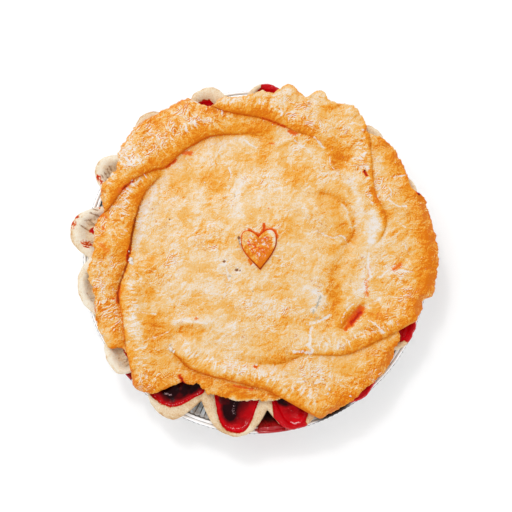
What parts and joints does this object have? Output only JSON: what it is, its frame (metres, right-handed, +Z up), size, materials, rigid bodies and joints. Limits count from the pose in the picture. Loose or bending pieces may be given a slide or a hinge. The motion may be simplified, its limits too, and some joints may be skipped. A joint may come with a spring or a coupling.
{
  "type": "cherry pie",
  "caption": "Whole fruit pie in its foil tin, with a fluted bottom crust, red filling standing in the flutes, a folded top crust and a pastry heart.",
  "frame": {"origin": "centre of the tin's flat base", "axes": "+Z up, +Y from the tip of the pastry heart towards its two lobes, +X to the right when seen from above with the heart upright"},
  "size_m": [0.2401, 0.2315, 0.052],
  "materials": {
    "foil": "bright pressed foil",
    "pale_crust": "pale baked pastry, dry and matt",
    "cherry_filling": "thick glossy cherry juice",
    "golden_crust": "golden egg-washed pastry with a soft shine",
    "glazed_pastry": "browned pastry with a pink juice glaze"
  },
  "bodies": {
    "root": {"foil_tin": "foil", "bottom_crust": "pale_crust", "filling": "cherry_filling", "top_crust": "golden_crust", "heart": "glazed_pastry"}
  },
  "joints": []
}
